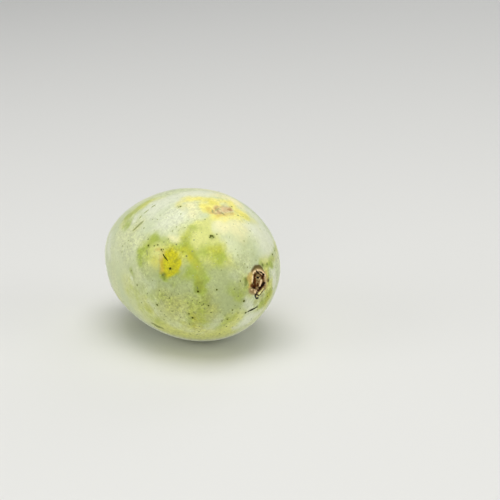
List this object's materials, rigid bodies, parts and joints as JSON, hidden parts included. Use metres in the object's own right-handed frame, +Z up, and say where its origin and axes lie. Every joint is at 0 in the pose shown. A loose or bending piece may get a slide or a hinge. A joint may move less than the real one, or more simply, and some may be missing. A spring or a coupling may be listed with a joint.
{
  "type": "mango",
  "caption": "Whole green mango lying on its flat cheek, with a corky stem scar and a blunt beak at opposite ends.",
  "frame": {"origin": "on the surface that the fruit lies on, under the middle of its bounding box", "axes": "+X along the fruit towards its stem scar, +Y towards its back, +Z up out of the upper cheek"},
  "size_m": [0.1166, 0.088, 0.0843],
  "materials": {
    "skin": "waxy bloom, satin where it is rubbed away"
  },
  "bodies": {
    "root": {"mango": "skin"}
  },
  "joints": []
}
